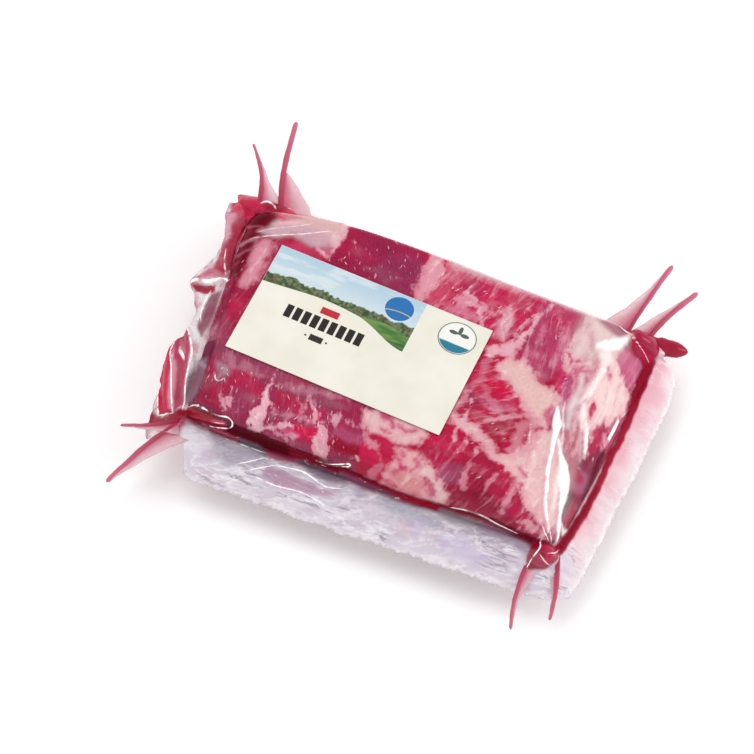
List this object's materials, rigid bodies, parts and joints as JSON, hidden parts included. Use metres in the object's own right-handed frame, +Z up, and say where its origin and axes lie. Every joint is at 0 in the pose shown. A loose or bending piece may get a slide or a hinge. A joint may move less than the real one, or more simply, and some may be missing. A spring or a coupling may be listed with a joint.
{
  "type": "vacuum pack of beef",
  "caption": "Flat block of marbled beef sealed tight in clear vacuum film, with a thin web of film round its seam, pleated corners and a paper label on top.",
  "frame": {"origin": "middle of the flat underside that the pack rests on", "axes": "+X along the pack's length and the way its label reads, +Y towards the back, +Z up out of the labelled face"},
  "size_m": [0.2365, 0.2126, 0.0454],
  "materials": {
    "film_and_meat": "clear glossy film over marbled beef with dark red juice",
    "label_paper": "matte coated paper, cream"
  },
  "bodies": {
    "root": {"bag": "film_and_meat", "label": "label_paper"}
  },
  "joints": []
}
